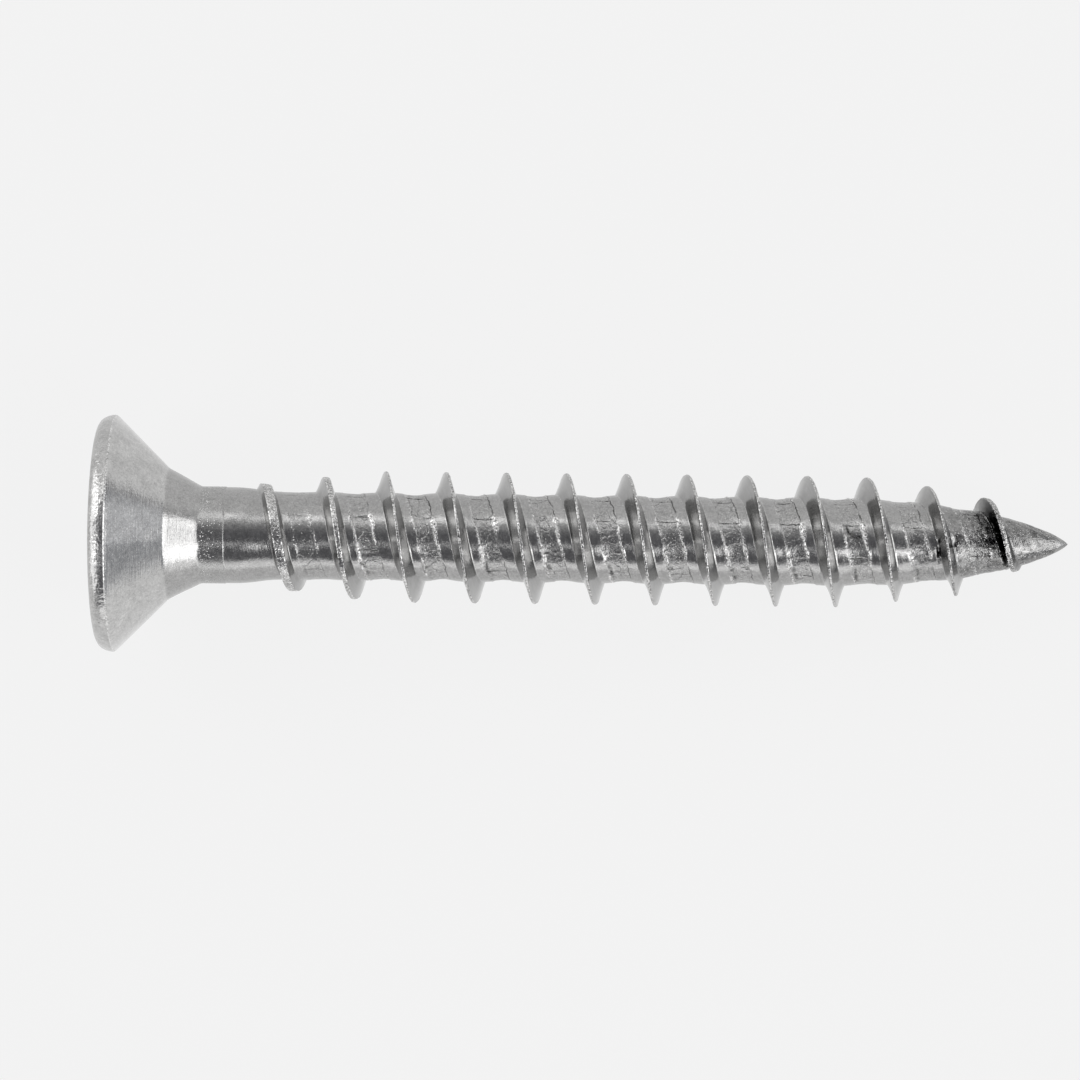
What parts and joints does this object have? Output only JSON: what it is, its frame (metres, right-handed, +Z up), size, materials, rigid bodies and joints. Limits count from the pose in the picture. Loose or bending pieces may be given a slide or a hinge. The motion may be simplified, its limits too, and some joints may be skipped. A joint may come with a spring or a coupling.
{
  "type": "chipboard screw",
  "caption": "Countersunk stainless chipboard screw lying on its side, with a cross recess, a plain neck and a coarse sharp thread running out at the point.",
  "frame": {"origin": "on the surface the screw lies on, below the middle of its bounding box", "axes": "+X from the head to the point, +Y to the left of that, +Z up; the screw's axis lies in the XZ plane and dips 4.1 degrees towards the point"},
  "size_m": [0.0302, 0.0074, 0.0073],
  "materials": {
    "stainless_steel": "satin, finely speckled, with rolled laps and burrs on the thread"
  },
  "bodies": {
    "root": {"screw": "stainless_steel"}
  },
  "joints": []
}
